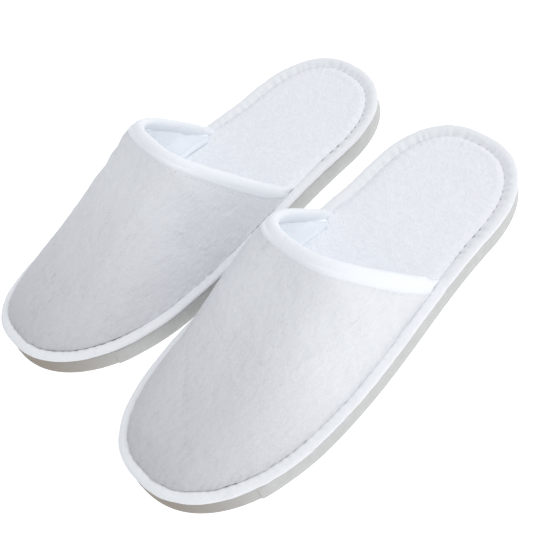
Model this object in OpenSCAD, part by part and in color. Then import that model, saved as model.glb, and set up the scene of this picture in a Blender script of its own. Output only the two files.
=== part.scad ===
// Pair of closed-toe, open-back spa slippers: a sewn fleece upper on a thin foam sole.
// Both slippers share one symmetrical last. Toes point to -Y, heels to +Y, and Z is up.

/* [Pair] */
// Distance between the two slippers' centre lines
pair_pitch = 115; // [112:0.5:200]
// Angle by which the right slipper's toe turns outwards
toe_out_right = 1.4; // [0:0.1:3]
// Angle by which the left slipper's toe turns outwards
toe_out_left = 1.6; // [0:0.1:3]

/* [Sole outline] */
// Overall length of one slipper
sole_len = 288; // [260:1:300]
// Half width at the ball of the foot
ball_half = 55.4; // [50:0.1:60]
// Where the ball is, along Y
ball_y = -45; // [-60:1:-30]
// Squareness of the toe, 2 is an ellipse
toe_square = 2.35; // [2:0.01:2.6]
// Half width of the heel
heel_half = 46.3; // [42:0.1:50]
// Where the heel's round end begins, along Y
heel_y = 85; // [70:1:95]
// Squareness of the heel, 2 is an ellipse
heel_square = 2.35; // [2:0.01:2.6]
// How far the toe curls up
toe_spring = 12; // [4:0.5:14]
// How far the heel curls up
heel_spring = 4; // [0:0.5:6]
// Distance from the centre at which the sole starts to curl
curl_start = 60; // [50:1:80]

/* [Sole layers] */
// Thickness of the foam outsole
outsole_t = 8; // [6:0.5:9]
// Depth of the tread grooves
tread_depth = 0.8; // [0.4:0.1:1.2]
// Thickness of the tape around the sole's edge
tape_t = 0.8; // [0.6:0.1:1.2]
// Height of the tape's upper edge
tape_top = 9.4; // [8:0.1:9.4]
// How far the sidewall leans in from the ground to the tape's upper edge
sidewall_lean = 1.8; // [0:0.1:2]
// Thickness of the insole board
board_t = 1.2; // [0.8:0.1:1.2]
// Thickness of the insole's foam
pad_t = 3; // [2.5:0.5:4]
// Height of the insole cover's crown over its edge
cover_crown = 2.5; // [2:0.5:3]

/* [Welt] */
// Half width of the welt at the toe
welt_half_toe = 3.3; // [2.8:0.1:3.4]
// Half width of the welt around the heel
welt_half_heel = 4; // [3:0.1:4.1]
// Half height of the welt
welt_half_h = 2.9; // [2.6:0.1:2.9]

/* [Upper] */
// Height of the vamp's crest over the ground
vamp_h = 81; // [70:1:84]
// Where the collar's highest point is, along Y
collar_top_y = -14.5; // [-25:0.5:-10]
// Where the collar meets the sole, along Y
collar_side_y = 40; // [30:0.5:41]
// Squareness of the vamp's cross-section
arch_square = 3.8; // [2.4:0.05:4.2]
// Squareness of the collar's curve, seen from above
collar_square = 3.04; // [2.4:0.01:3.2]
// Slope exponent of the vamp's crest, 1 is a straight line
crest_power = 1.08; // [0.9:0.01:1.2]
// Extra roundness of the vamp just behind the toe, as a share of its height
toe_fullness = 0.09; // [0:0.01:0.12]
// Thickness of the outer fleece
fleece_t = 2.2; // [1.5:0.1:2.5]
// Thickness of the foam interlining
foam_t = 1.8; // [1:0.1:2]
// Thickness of the lining
lining_t = 1; // [0.6:0.1:1.2]
// Radius of the rolled collar binding
binding_r = 4.2; // [3.5:0.1:4.4]
// Radius of the sewing threads
thread_r = 0.2; // [0.16:0.01:0.24]

/* [Flex] */
// Where the sole bends behind the vamp, along Y
flex_y = 48; // [47:0.5:52]
// Gap between the front and heel parts of each layer
flex_gap = 0.3; // [0.2:0.1:0.5]

/* [Hidden] */
SIDES = ["right", "left"];

// Half length, and the stations along the outline
half_len = sole_len / 2;
toe_steps = 13;
waist_steps = 13;
heel_steps = 11;

// Insets from the welt's outer edge, and heights over the ground
tape_inset = 0.1;
tape_foot = 0.3;
welt_inset = 0.6;
board_top = outsole_t + board_t;
pad_inset_front = 13.6;
pad_gap = 1;
pad_from = 36;
pad_to = 50;
welt_z = board_top + welt_half_h + 0.2;
pad_top = board_top + pad_t;
lip_drop = 1.2;
lip_z = welt_z + welt_half_h - lip_drop;
blend_from = 44;
blend_to = 76;
layer_gap = 0.05;
thread_gap = 0.1;

// The upper's base: it climbs between the welt and the insole, then swells out over the welt
base_inset = 8.2;
lip_reach = 1.2;
lip_lean = 0.3;
swell_inset = 6;
swell_z = 15;
arch_power = 1.06;
toe_full_at = 0.12;
collar_power = 0.9;
rim_back = 6.8;
vamp_rows = 15;
vamp_cols = 20;

// Tape overlap at the joint on the toe's right-hand side
overlap_from = -106;
overlap_to = -90;

// Tread grooves run across the outsole
tread_w = 2;
tread_pitch = 12;
tread_span = 108;

function mix(a, b, t) = a + (b - a) * t;
function clamp01(t) = max(0, min(1, t));
function ease(t) = (1 - cos(180 * clamp01(t))) / 2;

// Half width of the outline at a station y
function bulge(u, p) = pow(max(0, 1 - pow(clamp01(u), p)), 1 / p);
function half_width(y) =
    y < ball_y ? ball_half * bulge((ball_y - y) / (ball_y + half_len), toe_square)
    : y > heel_y ? heel_half * bulge((y - heel_y) / (half_len - heel_y), heel_square)
    : mix(ball_half, heel_half, ease((y - ball_y) / (heel_y - ball_y)));

// Height that the curled toe and heel add at a station y
function curl(y) = pow(max(0, y - curl_start) / (half_len - curl_start), 2);
function rise(y) = toe_spring * curl(-y) + heel_spring * curl(y);

// The rise of the outline's nearest edge, for a point that lies inset from it
function rise_inside(y, inset) =
    rise(y - inset * clamp01((-y - curl_start) / (half_len - curl_start)));

// 0 at the vamp's end, 1 around the heel
function heelward(y) = ease((y - blend_from) / (blend_to - blend_from));
function welt_half(y) = mix(welt_half_toe, welt_half_heel, heelward(y));

// Inset of the welt's inner edge, and of the insole pad, which leaves room for the upper and
// then comes out to the welt
function welt_inner(y) = welt_inset + 2 * welt_half(y);
function pad_inset(y) =
    mix(pad_inset_front, welt_inner(y) + pad_gap, ease((y - pad_from) / (pad_to - pad_from)));

// Inset of the leaning sidewall at a height z over the sole's underside
function wall_inset(z) = tape_inset + sidewall_lean * z / tape_top;

// Stations from toe tip to heel tip, close together where the outline turns fast
toe_ys = [for (k = [0:toe_steps - 1]) ball_y - (ball_y + half_len) * cos(90 * k / toe_steps)];
waist_ys = [for (k = [0:waist_steps - 1]) mix(ball_y, heel_y, k / waist_steps)];
heel_ys = [for (k = [0:heel_steps]) heel_y + (half_len - heel_y) * sin(90 * k / heel_steps)];
STATIONS = concat(toe_ys, waist_ys, heel_ys);
LAST = len(STATIONS) - 1;
EDGE = concat([for (y = STATIONS) [half_width(y), y]],
              [for (k = [LAST - 1:-1:1]) [-half_width(STATIONS[k]), STATIONS[k]]]);
COUNT = len(EDGE);

// Outward normal of the outline at point k
function tangent(k) = EDGE[(k + 1) % COUNT] - EDGE[(k + COUNT - 1) % COUNT];
function normal(k) = [tangent(k)[1], -tangent(k)[0]] / norm(tangent(k));
function inset_point(k, d) = EDGE[k] - d * normal(k);

// Right-hand edge of the outline, moved in by d, as a table from y to x
function edge_table(d) = [for (k = [0:LAST]) let(p = inset_point(k, d)) [p[1], max(0, p[0])]];

// ---- Solids from rings ------------------------------------------------------------------

// Faces of a closed body from rows of n points: sides, and caps paired left to right
function side_faces(rows, n, closed) =
    [for (i = [0:rows - (closed ? 1 : 2)], j = [0:n - 1], t = [0, 1])
        let(a = i * n + j, b = i * n + (j + 1) % n,
            c = ((i + 1) % rows) * n + (j + 1) % n, d = ((i + 1) % rows) * n + j)
        t == 0 ? [a, b, c] : [a, c, d]];
function fan_cap(first, n, flip) =
    [for (j = [1:n - 2]) flip ? [first, first + j + 1, first + j] : [first, first + j, first + j + 1]];
function zip_cap(first, n, flip) =
    [for (j = [0:n / 2 - 1], t = [0, 1])
        let(a = first + j, b = first + j + 1, c = first + (n - j - 1) % n, d = first + (n - j) % n)
        if ((t == 0 && j < n / 2 - 1) || (t == 1 && j > 0))
            let(f = t == 0 ? [a, b, c] : [a, c, d]) flip ? [f[2], f[1], f[0]] : f];

// A body within the outline from rings of [inset, height]; starts adds to their inset at each
// point of the outline
NONE = [for (p = EDGE) 0];
module outline_body(rings, starts = NONE) {
    points = [for (r = rings, k = [0:COUNT - 1])
        let(p = inset_point(k, starts[k] + r[0])) [p[0], p[1], r[1] + rise(EDGE[k][1])]];
    faces = concat(side_faces(len(rings), COUNT, false),
                   zip_cap(0, COUNT, true), zip_cap((len(rings) - 1) * COUNT, COUNT, false));
    polyhedron(points, flipped(faces));
}

// A ring that follows the outline: sections lists a closed section of [inset, height] for each
// point of the outline
module outline_ring(sections) {
    points = [for (k = [0:COUNT - 1], q = sections[k])
        let(p = inset_point(k, q[0])) [p[0], p[1], q[1] + rise(EDGE[k][1])]];
    polyhedron(points, flipped(side_faces(COUNT, len(sections[0]), true)));
}
function oval(inset, z, r_x, r_z, sides) =
    [for (j = [0:sides - 1]) let(a = 360 * j / sides) [inset + r_x * cos(a), z + r_z * sin(a)]];

// A round tube along an open path
module tube(path, r, sides) {
    n = len(path);
    points = [for (i = [0:n - 1])
        let(t = path[min(i + 1, n - 1)] - path[max(i - 1, 0)], d = t / norm(t),
            u = cross(d, [0, 0, 1]), v = u / norm(u), w = cross(v, d))
        for (j = [0:sides - 1]) path[i] + r * (v * cos(360 * j / sides) + w * sin(360 * j / sides))];
    polyhedron(points, concat(side_faces(n, sides, false),
               fan_cap(0, sides, true), fan_cap((n - 1) * sides, sides, false)));
}

// ---- Sole layers ------------------------------------------------------------------------

// The half of space in front of the flex line, or behind it
module zone(part) {
    big = sole_len * 2;
    y0 = part == "front" ? flex_y - flex_gap / 2 - big : flex_y + flex_gap / 2;
    intersection() {
        children();
        translate([-big / 2, y0, -big / 2]) cube(big);
    }
}

module outsole(part) {
    color("gainsboro") zone(part) difference() {
        outline_body([[wall_inset(0) + tape_t, 0], [wall_inset(outsole_t) + tape_t, outsole_t]]);
        for (y = [-tread_span / 2:tread_pitch:tread_span / 2])
            translate([-sole_len / 2, y - tread_w / 2, -1]) cube([sole_len, tread_w, 1 + tread_depth]);
    }
}

// The tape around the leaning sidewall: its end lies over its start on one side of the toe
function lapped(p) = p[0] > 0 && p[1] > overlap_from && p[1] < overlap_to;
module edge_tape(part) {
    color("whitesmoke") zone(part) outline_ring([for (p = EDGE)
        let(low = wall_inset(tape_foot), high = wall_inset(tape_top), out = lapped(p) ? tape_t : 0)
        [[low + tape_t, tape_foot], [high + tape_t, tape_top],
         [high - out, tape_top], [low - out, tape_foot]]]);
}

module insole_board(part) {
    color("gainsboro") zone(part) outline_body([[wall_inset(outsole_t) + tape_t, outsole_t],
                                          [wall_inset(board_top) + tape_t, board_top]]);
}

PAD = [for (p = EDGE) pad_inset(p[1])];

module insole_foam(part) {
    color("lemonchiffon") zone(part) outline_body([[0, board_top], [0, pad_top]], PAD);
}

module insole_cover(part) {
    color("white") zone(part) outline_body([
        [0, pad_top + layer_gap],
        [0, pad_top + 0.6],
        [1, pad_top + cover_crown * 0.6],
        [4, pad_top + cover_crown * 0.85],
        [10, pad_top + cover_crown]], PAD);
}

module welt(part) {
    color("white") zone(part) outline_ring([for (p = EDGE)
        let(r = welt_half(p[1])) oval(welt_inset + r, welt_z, r, welt_half_h, 10)]);
}

module welt_stitching(part) {
    color("snow") zone(part) outline_ring([for (p = EDGE)
        oval(welt_inner(p[1]) + thread_r + thread_gap, welt_z, thread_r, thread_r, 6)]);
}

// ---- Upper ------------------------------------------------------------------------------

// Collar line over the cross position s, from -1 at one side to 1 at the other
function collar_y(s) =
    mix(collar_side_y, collar_top_y, pow(max(0, 1 - pow(abs(s), collar_square)), collar_power));

// Share of the vamp's height at t, from 0 at the toe's tip to 1 at the collar
function crest_share(t) =
    pow(t, crest_power) + toe_fullness * t / toe_full_at * exp(1 - t / toe_full_at);

// Height of the vamp at (s, y), measured to the surface that lies d under the outer face
function arch_z(s, y, d) =
    let(tip = swell_inset + d - half_len,
        t = clamp01((y - tip) / (collar_top_y - tip)),
        base = swell_z + 0.4 * d)
    base + rise_inside(y, swell_inset + d) + (vamp_h - d - base) * crest_share(t) / crest_share(1)
        * pow(max(0, 1 - pow(abs(s), arch_square)), arch_power);

function row_at(i) = pow(i / vamp_rows, 1.7);
function col_at(j) = let(u = -1 + 2 * j / vamp_cols) u * (1 + 0.25 * (1 - u * u));

// One surface of the vamp: three base points at each side, with the arch between them
function wall_point(side, share, d_in, z, y_end, table) =
    let(y = mix(d_in - half_len, y_end, share))
    [side * lookup(y, table), y, z + rise_inside(y, d_in)];
function vamp_surface(d) =
    let(t_base = edge_table(base_inset + d), t_mid = edge_table(base_inset + d - 0.1),
        t_low = edge_table(base_inset - lip_reach + 0.9 * d), t_arch = edge_table(swell_inset + d),
        y_side = collar_y(1) - rim_back)
    [for (i = [0:vamp_rows]) let(u = row_at(i)) concat(
        [wall_point(-1, u, base_inset + d, board_top + 0.1, y_side, t_base),
         wall_point(-1, u, base_inset + d - 0.1, welt_z, y_side, t_mid),
         wall_point(-1, u, base_inset - lip_reach + 0.9 * d, lip_z + lip_lean * d, y_side, t_low)],
        [for (j = [0:vamp_cols])
            let(s = col_at(j), tip = swell_inset + d - half_len, y = mix(tip, collar_y(s) - rim_back, u))
            [s * lookup(y, t_arch), y, arch_z(s, y, d)]],
        [wall_point(1, u, base_inset - lip_reach + 0.9 * d, lip_z + lip_lean * d, y_side, t_low),
         wall_point(1, u, base_inset + d - 0.1, welt_z, y_side, t_mid),
         wall_point(1, u, base_inset + d, board_top + 0.1, y_side, t_base)])];

// Vertex number of row i, column j; row 0 lies on the centre line, so both sides share it
tip_count = 4;
function vertex(i, j, n) =
    i == 0 ? min(j, n - 1 - j, tip_count - 1) : tip_count + (i - 1) * n + j;

// A closed shell between two such surfaces, joined along the base and along the collar
module vamp_shell(d_out, d_in) {
    surfaces = [vamp_surface(d_out), vamp_surface(d_in)];
    rows = vamp_rows + 1;
    n = len(surfaces[0][0]);
    points = [for (w = surfaces, i = [0:rows - 1], j = [0:(i == 0 ? tip_count : n) - 1]) w[i][j]];
    inside = tip_count + vamp_rows * n;
    skin = [for (i = [0:rows - 2], j = [0:n - 2], t = [0, 1])
        let(a = vertex(i, j, n), b = vertex(i, j + 1, n),
            c = vertex(i + 1, j + 1, n), e = vertex(i + 1, j, n))
        if (t == 0 ? a != b : true) t == 0 ? [c, b, a] : [e, c, a]];
    base = [for (i = [0:rows - 2], t = [0, 1])
        let(a = vertex(i, 0, n), b = vertex(i + 1, 0, n))
        t == 0 ? [inside + b, b, a] : [inside + a, inside + b, a]];
    base_far = [for (i = [0:rows - 2], t = [0, 1])
        let(a = vertex(i, n - 1, n), b = vertex(i + 1, n - 1, n))
        t == 0 ? [a, b, inside + b] : [a, inside + b, inside + a]];
    rim = [for (j = [0:n - 2], t = [0, 1])
        let(a = vertex(rows - 1, j, n), b = vertex(rows - 1, j + 1, n))
        t == 0 ? [inside + b, b, a] : [inside + a, inside + b, a]];
    polyhedron(points, concat(skin, flipped(moved(skin, inside)), base, base_far, rim));
}
function moved(faces, k) = [for (f = faces) [for (v = f) v + k]];
function flipped(faces) = [for (f = faces) [for (k = [len(f) - 1:-1:0]) f[k]]];

module upper_outer() {
    color("white") vamp_shell(0, fleece_t);
}

module upper_foam() {
    color("lemonchiffon") vamp_shell(fleece_t + layer_gap, fleece_t + foam_t);
}

module upper_lining() {
    color("snow") vamp_shell(fleece_t + foam_t + layer_gap, fleece_t + foam_t + lining_t);
}

// A line on the vamp, back from its toe-side by "back" and d under its outer face
function collar_path(back, d, steps, reach) =
    let(table = edge_table(swell_inset + d))
    [for (k = [0:steps]) let(u = -1 + 2 * k / steps, s = reach * u * (1 + 0.25 * (1 - u * u)),
        y = collar_y(s) - back)
        [s * lookup(y, table), y, max(arch_z(s, y, d), welt_z + welt_half_h + binding_r + 0.6)]];

module collar_binding() {
    color("white") tube(collar_path(0, (fleece_t + foam_t + lining_t) / 2, 26, 1), binding_r, 10);
}

module collar_stitching() {
    color("snow") tube(collar_path(rim_back + 1.2, -thread_r - 0.1, 26, 0.98), thread_r, 6);
}

// ---- Pair -------------------------------------------------------------------------------

// Puts one slipper in its place in the pair
module placed(side) {
    sign = side == "right" ? 1 : -1;
    turn = side == "right" ? toe_out_right : -toe_out_left;
    translate([sign * pair_pitch / 2, 0, 0]) rotate(turn) children();
}

for (s = SIDES) {
    placed(s) outsole("front");
    placed(s) outsole("heel");
    placed(s) edge_tape("front");
    placed(s) edge_tape("heel");
    placed(s) insole_board("front");
    placed(s) insole_board("heel");
    placed(s) insole_foam("front");
    placed(s) insole_foam("heel");
    placed(s) insole_cover("front");
    placed(s) insole_cover("heel");
    placed(s) welt("front");
    placed(s) welt("heel");
    placed(s) welt_stitching("front");
    placed(s) welt_stitching("heel");
    placed(s) upper_outer();
    placed(s) upper_foam();
    placed(s) upper_lining();
    placed(s) collar_binding();
    placed(s) collar_stitching();
}
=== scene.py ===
import math

import bpy
import numpy as np
from mathutils import Matrix, Vector

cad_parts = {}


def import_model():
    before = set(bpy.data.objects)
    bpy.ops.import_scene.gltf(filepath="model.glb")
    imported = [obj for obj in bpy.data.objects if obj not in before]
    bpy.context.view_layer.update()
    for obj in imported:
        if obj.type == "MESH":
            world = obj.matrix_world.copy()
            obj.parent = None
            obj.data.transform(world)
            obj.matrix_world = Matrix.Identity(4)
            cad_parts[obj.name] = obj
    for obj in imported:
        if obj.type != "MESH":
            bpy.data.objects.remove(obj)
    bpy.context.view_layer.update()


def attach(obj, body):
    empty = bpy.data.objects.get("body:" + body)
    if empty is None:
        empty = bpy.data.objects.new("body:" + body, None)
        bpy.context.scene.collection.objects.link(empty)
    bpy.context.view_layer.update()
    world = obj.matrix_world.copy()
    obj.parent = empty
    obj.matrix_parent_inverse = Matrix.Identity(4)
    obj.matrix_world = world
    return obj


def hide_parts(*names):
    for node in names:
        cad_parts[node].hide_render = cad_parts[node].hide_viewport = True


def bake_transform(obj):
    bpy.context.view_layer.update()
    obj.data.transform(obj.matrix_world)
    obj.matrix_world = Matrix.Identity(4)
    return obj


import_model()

# ---- Driving values of the shared last, in millimetres, as in part.scad -----------------
PAIR_PITCH = 115.0
TOE_OUT = {"right": 1.4, "left": 1.6}
HALF_LEN = 144.0
BALL_HALF = 55.4
BALL_Y = -45.0
TOE_SQUARE = 2.35
HEEL_HALF = 46.3
HEEL_Y = 85.0
HEEL_SQUARE = 2.35
TOE_SPRING = 12.0
HEEL_SPRING = 4.0
CURL_START = 60.0
OUTSOLE_T = 8.0
TREAD_DEPTH = 0.8
TREAD_W = 2.0
TREAD_PITCH = 12.0
TREAD_SPAN = 108.0
TAPE_INSET = 0.1
TAPE_FOOT = 0.3
SIDEWALL_LEAN = 1.8
TAPE_T = 0.8
TAPE_TOP = 9.4
TAPE_RISE = 1.3
BOARD_TOP = 9.2
PAD_TOP = 12.2
PAD_FRONT = 13.6
PAD_GAP = 1.0
PAD_FROM = 36.0
PAD_TO = 50.0
COVER_FROM = 34.5
COVER_TO = 39.0
COVER_CROWN = 2.5
WELT_INSET = 0.6
WELT_TOE = 3.3
WELT_HEEL = 4.0
WELT_H = 2.9
WELT_Z = 12.3
LIP_REACH = 1.2
LIP_Z = 14.0
LIP_LEAN = 0.3
VAMP_H = 81.0
COLLAR_TOP_Y = -14.5
COLLAR_SIDE_Y = 40.0
ARCH_SQUARE = 3.8
COLLAR_SQUARE = 3.04
CREST_POWER = 1.08
TOE_FULLNESS = 0.09
TOE_FULL_AT = 0.12
ARCH_POWER = 1.06
COLLAR_POWER = 0.9
BASE_INSET = 8.2
SWELL_INSET = 6.0
SWELL_Z = 15.0
FLEECE_T = 2.2
FOAM_T = 1.8
LINING_T = 1.0
BLEND_FROM = 44.0
BLEND_TO = 76.0
OVERLAP_FROM = -106.0
OVERLAP_TO = -90.0

# ---- Resolution, in steps ---------------------------------------------------------------
EDGE_STEPS = 640
EDGE_COLUMNS = 24
VAMP_COLS = 400
VAMP_ROWS = 128
LINING_COLS = 260
LINING_ROWS = 80
FOAM_COLS = 150
FOAM_ROWS = 48

# ---- Sewing and softness, in millimetres ------------------------------------------------
STITCH_FRONT = 5.2
STITCH_HEEL = 6.4
COLLAR_STITCH = 3.2
COLLAR_SEAM = 6.4
COLLAR_LAP = 2.2
DENT = 1.3
SETTLE = (0.0, 2.6, 1.2)
HEM_TOP = 4.4
HEM_SIDE = 5.6
HEM_PROUD = 1.0
HEM_SUNK = 0.5
ROLL_TALL = 4.2
# The nap of each cloth as layers of noise: height, size of a lump, and slant in degrees.
INSOLE_NAP = ((0.32, 26, 0), (0.13, (9, 13, 9), 30), (0.10, 4.2, 0), (0.07, 2.1, 0))
WELT_NAP = ((0.16, 7.5, 0), (0.11, 3.2, 0), (0.06, 1.7, 0))
COLLAR_NAP = ((0.12, 16, 0), (0.09, 6, 0), (0.06, 2.6, 0))
VAMP_NAP = ((0.55, 34, 0), (0.30, (13, 22, 15), 25), (0.17, (4.5, 9, 6), 38), (0.13, 2.6, 0),
            (0.07, 1.6, 0))
MM = 0.001


# ---- Numbers ----------------------------------------------------------------------------

def mix(a, b, t):
    return a + (b - a) * t


def ease(t):
    return (1 - np.cos(np.pi * np.clip(t, 0, 1))) / 2


def bell(t):
    """1 at 0, falling smoothly to 0 at -1 and 1."""
    return np.cos(np.clip(t, -1, 1) * np.pi / 2) ** 2


def hashed(ix, iy, iz, seed):
    mask = np.uint64(0xFFFFFFFF)
    n = (ix.astype(np.uint64) * np.uint64(374761393) + iy.astype(np.uint64) * np.uint64(668265263)
         + iz.astype(np.uint64) * np.uint64(2246822519) + np.uint64(seed * 974634777 + 12345)) & mask
    n = ((n ^ (n >> np.uint64(13))) * np.uint64(1274126177)) & mask
    n = ((n ^ (n >> np.uint64(15))) * np.uint64(2654435761)) & mask
    n = n ^ (n >> np.uint64(16))
    return n.astype(float) / 4294967295.0 * 2 - 1


def noise(points, size, seed):
    """Smooth value noise from -1 to 1 over points in millimetres, with lumps of that size."""
    q = points / np.asarray(size, float) + 1000.0
    i = np.floor(q).astype(np.int64)
    f = q - i
    w = f * f * f * (f * (f * 6 - 15) + 10)
    total = np.zeros(len(points))
    for dx in (0, 1):
        for dy in (0, 1):
            for dz in (0, 1):
                share = ((w[:, 0] if dx else 1 - w[:, 0]) * (w[:, 1] if dy else 1 - w[:, 1])
                         * (w[:, 2] if dz else 1 - w[:, 2]))
                total += share * hashed(i[:, 0] + dx, i[:, 1] + dy, i[:, 2] + dz, seed)
    return total


def turned(points, degrees):
    """Points turned about Z, so that a stretched noise runs on a slant."""
    c, s = math.cos(math.radians(degrees)), math.sin(math.radians(degrees))
    return np.column_stack([points[:, 0] * c + points[:, 1] * s,
                            -points[:, 0] * s + points[:, 1] * c, points[:, 2]])


def nap(points, layers, seed):
    return sum(height * noise(turned(points, slant), size, seed + k)
               for k, (height, size, slant) in enumerate(layers))


# ---- The last ---------------------------------------------------------------------------

def bulge(u, p):
    return np.maximum(0, 1 - np.clip(u, 0, 1) ** p) ** (1 / p)


def half_width(y):
    toe = BALL_HALF * bulge((BALL_Y - y) / (BALL_Y + HALF_LEN), TOE_SQUARE)
    heel = HEEL_HALF * bulge((y - HEEL_Y) / (HALF_LEN - HEEL_Y), HEEL_SQUARE)
    waist = mix(BALL_HALF, HEEL_HALF, ease((y - BALL_Y) / (HEEL_Y - BALL_Y)))
    return np.where(y < BALL_Y, toe, np.where(y > HEEL_Y, heel, waist))


def rise(y):
    span = HALF_LEN - CURL_START
    return (TOE_SPRING * (np.maximum(0, -y - CURL_START) / span) ** 2
            + HEEL_SPRING * (np.maximum(0, y - CURL_START) / span) ** 2)


def rise_inside(y, inset):
    """The rise of the outline's nearest edge, for a point that lies inset from it."""
    return rise(y - inset * np.clip((-y - CURL_START) / (HALF_LEN - CURL_START), 0, 1))


def heelward(y):
    return ease((y - BLEND_FROM) / (BLEND_TO - BLEND_FROM))


def welt_half(y):
    return mix(WELT_TOE, WELT_HEEL, heelward(y))


def welt_inner(y):
    return WELT_INSET + 2 * welt_half(y)


def pad_inset(y):
    """The pad leaves room for the upper, then comes out to the welt."""
    return mix(PAD_FRONT, welt_inner(y) + PAD_GAP, ease((y - PAD_FROM) / (PAD_TO - PAD_FROM)))


def pad_edge(y):
    """The cover's soft edge: it comes out to the welt as soon as the upper has ended."""
    return mix(PAD_FRONT, welt_inner(y) + PAD_GAP - 0.4, ease((y - COVER_FROM) / (COVER_TO - COVER_FROM)))


def wall_inset(z):
    """Inset of the leaning sidewall at a height over the sole's underside."""
    return TAPE_INSET + SIDEWALL_LEAN * z / TAPE_TOP


def constant(value):
    return lambda y: np.full_like(y, value)


def dense_outline():
    """The sole's outline as a closed line, from the toe's tip along the right side."""
    a = np.linspace(0, np.pi / 2, 700)
    toe = BALL_Y - (BALL_Y + HALF_LEN) * np.cos(a)
    heel = HEEL_Y + (HALF_LEN - HEEL_Y) * np.sin(a)
    y = np.concatenate([toe[:-1], np.linspace(BALL_Y, HEEL_Y, 500)[:-1], heel])
    right = np.column_stack([half_width(y), y])
    left = right[-2:0:-1] * [-1, 1]
    return np.vstack([right, left])


class Outline:
    """Points and outward normals along the sole's edge, by arc length from the toe's tip."""

    def __init__(self):
        line = dense_outline()
        steps = np.linalg.norm(np.roll(line, -1, 0) - line, axis=1)
        self.length = steps.sum()
        arc = np.concatenate([[0], np.cumsum(steps)[:-1]])
        along = np.roll(line, -3, 0) - np.roll(line, 3, 0)
        normal = np.column_stack([along[:, 1], -along[:, 0]])
        normal /= np.linalg.norm(normal, axis=1)[:, None]
        self.arc = np.concatenate([arc, [self.length]])
        self.line = np.vstack([line, line[:1]])
        self.normal = np.vstack([normal, normal[:1]])
        self.heel_arc = self.length / 2

    def at(self, arc):
        a = np.mod(arc, self.length)
        point = np.column_stack([np.interp(a, self.arc, self.line[:, k]) for k in (0, 1)])
        normal = np.column_stack([np.interp(a, self.arc, self.normal[:, k]) for k in (0, 1)])
        return point, normal / np.linalg.norm(normal, axis=1)[:, None]

    def inset(self, arc, d):
        point, normal = self.at(arc)
        return point - np.asarray(d).reshape(-1, 1) * normal

    def table(self, d):
        """Half width of the outline moved in by d, as rising y and x."""
        right = self.arc <= self.heel_arc + 1e-9
        p = self.line[right] - d * self.normal[right]
        keep = np.concatenate([[True], np.diff(np.maximum.accumulate(p[:, 1])) > 0])
        return p[keep, 1], np.maximum(0, p[keep, 0])


EDGE = Outline()


def stitch_phase(arc):
    """Stitch count along the edge: it rises by 1 a stitch, and stitches are longer at the heel."""
    a = np.linspace(0, EDGE.length, 4001)
    y = EDGE.at(a)[0][:, 1]
    pitch = mix(STITCH_FRONT, STITCH_HEEL, heelward(y))
    count = np.concatenate([[0], np.cumsum((a[1:] - a[:-1]) / ((pitch[1:] + pitch[:-1]) / 2))])
    count *= round(count[-1]) / count[-1]
    wander = 0.22 * np.sin(count * 0.83) + 0.16 * np.sin(count * 2.17 + 1.3)
    wander *= np.abs(np.sin(np.pi * a / EDGE.length)) ** 0.25
    return np.interp(np.mod(arc, EDGE.length), a, count + wander)


def pull(arc, sharp=1.0):
    """1 at each stitch, 0 midway between two."""
    return (0.5 + 0.5 * np.cos(2 * np.pi * stitch_phase(arc))) ** sharp


def crest_share(t):
    return t ** CREST_POWER + TOE_FULLNESS * (t / TOE_FULL_AT) * np.exp(1 - t / TOE_FULL_AT)


CREST_END = crest_share(1.0)


def collar_y(s):
    return mix(COLLAR_SIDE_Y, COLLAR_TOP_Y,
               np.maximum(0, 1 - np.abs(s) ** COLLAR_SQUARE) ** COLLAR_POWER)


def arch_z(s, y, d):
    tip = SWELL_INSET + d - HALF_LEN
    t = np.clip((y - tip) / (COLLAR_TOP_Y - tip), 0, 1)
    base = SWELL_Z + 0.4 * d
    return (base + rise_inside(y, SWELL_INSET + d)
            + (VAMP_H - d - base) * crest_share(t) / CREST_END
            * np.maximum(0, 1 - np.abs(s) ** ARCH_SQUARE) ** ARCH_POWER)


# ---- Meshes -----------------------------------------------------------------------------

def placed(points, side):
    """Millimetres in a slipper's own frame to metres in the row's frame."""
    sign = 1 if side == "right" else -1
    a = math.radians(sign * TOE_OUT[side])
    x = points[:, 0] * math.cos(a) - points[:, 1] * math.sin(a) + sign * PAIR_PITCH / 2
    y = points[:, 0] * math.sin(a) + points[:, 1] * math.cos(a)
    return np.column_stack([x, y, points[:, 2]]) * MM


def settled(points, side):
    """The left upper has settled a little towards its toe on the inner side, above its seam."""
    if side == "right":
        return points
    share = (ease((points[:, 0] + 10) / 40) * ease((points[:, 1] + 45) / 55)
             * ease((points[:, 2] - 15) / 14))
    return points - share[:, None] * np.array(SETTLE)


def volume(points, faces):
    total = 0.0
    for size in (3, 4):
        f = np.array([q for q in faces if len(q) == size])
        if not len(f):
            continue
        for k in range(1, size - 1):
            a, b, c = points[f[:, 0]], points[f[:, k]], points[f[:, k + 1]]
            total += np.einsum("ij,ij->i", a, np.cross(b, c)).sum()
    return total / 6


def make(name, points, faces, side, material, bodies, nodes, blended=False):
    """A closed mesh piece that rides on its body, or, when blended, stays in place without one."""
    if volume(points, faces) < 0:
        faces = [f[::-1] for f in faces]
    if nodes[0].startswith(("upper", "collar")):
        points = settled(points, side)
    mesh = bpy.data.meshes.new(name)
    mesh.from_pydata(placed(points, side).tolist(), [], [list(map(int, f)) for f in faces])
    mesh.polygons.foreach_set("use_smooth", [True] * len(mesh.polygons))
    mesh.update()
    piece = bpy.data.objects.new(name, mesh)
    bpy.context.collection.objects.link(piece)
    mesh.materials.append(material)
    if blended:
        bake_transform(piece)
    else:
        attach(piece, bodies[0])
    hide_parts(*[f"{side}_{n}" for n in nodes])
    return piece


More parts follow.
